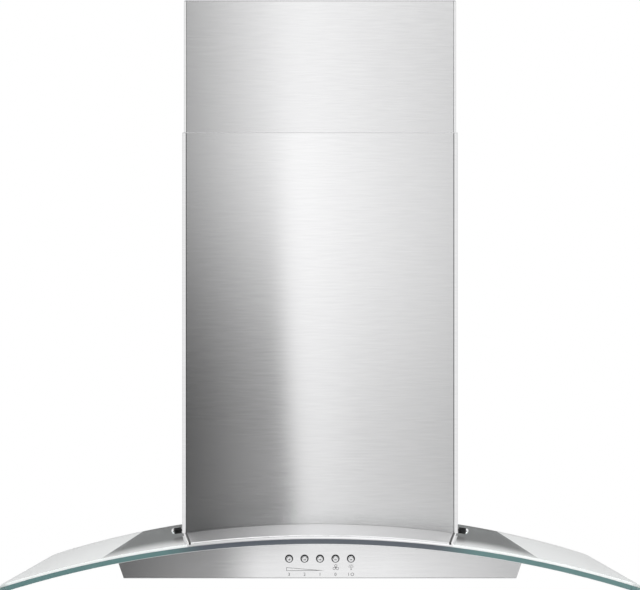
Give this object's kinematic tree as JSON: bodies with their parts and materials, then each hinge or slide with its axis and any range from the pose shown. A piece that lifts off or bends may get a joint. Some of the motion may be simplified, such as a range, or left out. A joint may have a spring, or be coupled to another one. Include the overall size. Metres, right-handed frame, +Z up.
{
  "type": "wall mount range hood",
  "caption": "Wall mount range hood with a telescopic steel chimney, an arched glass canopy, push buttons, a blower with damper and tilting grease filters.",
  "frame": {"origin": "on the wall, at the middle of the four wall screw holes in the back of the blower box", "axes": "+X to the right as seen from the front, +Y into the wall, +Z up"},
  "size_m": [0.75, 0.5, 0.734],
  "materials": {
    "shell_steel": "brushed along X",
    "underside_steel": "brushed along X",
    "saddle_steel": "brushed along X",
    "lower_steel": "brushed along X",
    "upper_steel": "brushed along X",
    "canopy_glass": "clear, polished edges",
    "lens_glass": "frosted",
    "gasket_rubber": "matt",
    "galvanised": "satin",
    "scroll_metal": "satin",
    "black_plastic": "matt",
    "grey_plastic": "matt",
    "impeller_plastic": "matt",
    "knob_black": "gloss",
    "bright_metal": "polished",
    "button_metal": "satin",
    "fastener_metal": "satin",
    "filter_aluminium": "satin",
    "mesh_aluminium": "expanded mesh",
    "lamp_aluminium": "bright",
    "motor_metal": "cast"
  },
  "bodies": {
    "hood": {"canopy_shell": "shell_steel", "underside_panel": "underside_steel", "glass_canopy": "canopy_glass", "glass_gasket": "gasket_rubber", "saddle_plate": "saddle_steel", "blower_box": "galvanised", "scroll_housing": "scroll_metal", "inlet_ring_left": "grey_plastic", "inlet_ring_right": "grey_plastic", "scroll_side_left": "scroll_metal", "scroll_side_right": "scroll_metal", "motor_body": "motor_metal", "motor_bracket": "galvanised", "outlet_collar": "black_plastic", "damper_rod_front": "fastener_metal", "damper_rod_rear": "fastener_metal", "junction_box": "galvanised", "junction_cover": "galvanised", "cable_gland": "black_plastic", "capacitor": "black_plastic", "switch_housing": "black_plastic", "lower_chimney": "lower_steel", "glass_bolt_1": "fastener_metal", "glass_bolt_2": "fastener_metal", "glass_bolt_3": "fastener_metal", "glass_bolt_4": "fastener_metal", "lamp_housing_left": "lamp_aluminium", "lamp_lens_left": "lens_glass", "lamp_trim_left": "bright_metal", "cover_screw_left": "knob_black", "cover_screw_cap_left": "bright_metal", "cover_tab_left": "galvanised", "lamp_housing_right": "lamp_aluminium", "lamp_lens_right": "lens_glass", "lamp_trim_right": "bright_metal", "cover_screw_right": "knob_black", "cover_screw_cap_right": "bright_metal", "cover_tab_right": "galvanised"},
    "upper_cover": {"upper_chimney": "upper_steel", "chimney_bracket": "galvanised", "bracket_screw_left": "fastener_metal", "bracket_screw_right": "fastener_metal"},
    "fan": {"impeller": "impeller_plastic", "blade_ring_left": "impeller_plastic", "blade_ring_right": "impeller_plastic", "motor_shaft": "fastener_metal", "impeller_nut": "fastener_metal"},
    "flap_front": {"damper_flap_front": "grey_plastic"},
    "flap_rear": {"damper_flap_rear": "grey_plastic"},
    "filter_left": {"filter_frame_left": "filter_aluminium", "filter_mesh_left": "mesh_aluminium"},
    "latch_left": {"filter_latch_left": "black_plastic"},
    "filter_right": {"filter_frame_right": "filter_aluminium", "filter_mesh_right": "mesh_aluminium"},
    "latch_right": {"filter_latch_right": "black_plastic"},
    "push_high": {"button_high": "button_metal"},
    "push_medium": {"button_medium": "button_metal"},
    "push_low": {"button_low": "button_metal"},
    "push_off": {"button_off": "button_metal"},
    "push_light": {"button_light": "button_metal"}
  },
  "joints": [
    {"name": "upper_cover_slide", "type": "slide", "parent": "hood", "child": "upper_cover", "axis": [0, 0, 1], "range_m": [-0.12, 0.2]},
    {"name": "fan_spin", "type": "hinge", "parent": "hood", "child": "fan", "pos_m": [0, -0.092, -0.025], "axis": [1, 0, 0], "continuous": true},
    {"name": "flap_front_swing", "type": "hinge", "parent": "hood", "child": "flap_front", "pos_m": [0, -0.1525, 0.146], "axis": [-1, 0, 0], "range_deg": [0, 80]},
    {"name": "flap_rear_swing", "type": "hinge", "parent": "hood", "child": "flap_rear", "pos_m": [0, -0.1435, 0.146], "axis": [1, 0, 0], "range_deg": [0, 80]},
    {"name": "filter_left_tilt", "type": "hinge", "parent": "hood", "child": "filter_left", "pos_m": [0, -0.04, -0.1947], "axis": [1, 0, 0], "range_deg": [0, 70]},
    {"name": "latch_left_slide", "type": "slide", "parent": "filter_left", "child": "latch_left", "axis": [0, 1, 0], "range_m": [0, 0.006], "stiffness_N_per_m": 300},
    {"name": "filter_right_tilt", "type": "hinge", "parent": "hood", "child": "filter_right", "pos_m": [0, -0.04, -0.1947], "axis": [1, 0, 0], "range_deg": [0, 70]},
    {"name": "latch_right_slide", "type": "slide", "parent": "filter_right", "child": "latch_right", "axis": [0, 1, 0], "range_m": [0, 0.006], "stiffness_N_per_m": 300},
    {"name": "button_high_press", "type": "slide", "parent": "hood", "child": "push_high", "axis": [0, 1, 0], "range_m": [0, 0.0025], "stiffness_N_per_m": 800},
    {"name": "button_medium_press", "type": "slide", "parent": "hood", "child": "push_medium", "axis": [0, 1, 0], "range_m": [0, 0.0025], "stiffness_N_per_m": 800},
    {"name": "button_low_press", "type": "slide", "parent": "hood", "child": "push_low", "axis": [0, 1, 0], "range_m": [0, 0.0025], "stiffness_N_per_m": 800},
    {"name": "button_off_press", "type": "slide", "parent": "hood", "child": "push_off", "axis": [0, 1, 0], "range_m": [0, 0.0025], "stiffness_N_per_m": 800},
    {"name": "button_light_press", "type": "slide", "parent": "hood", "child": "push_light", "axis": [0, 1, 0], "range_m": [0, 0.0025], "stiffness_N_per_m": 800}
  ]
}
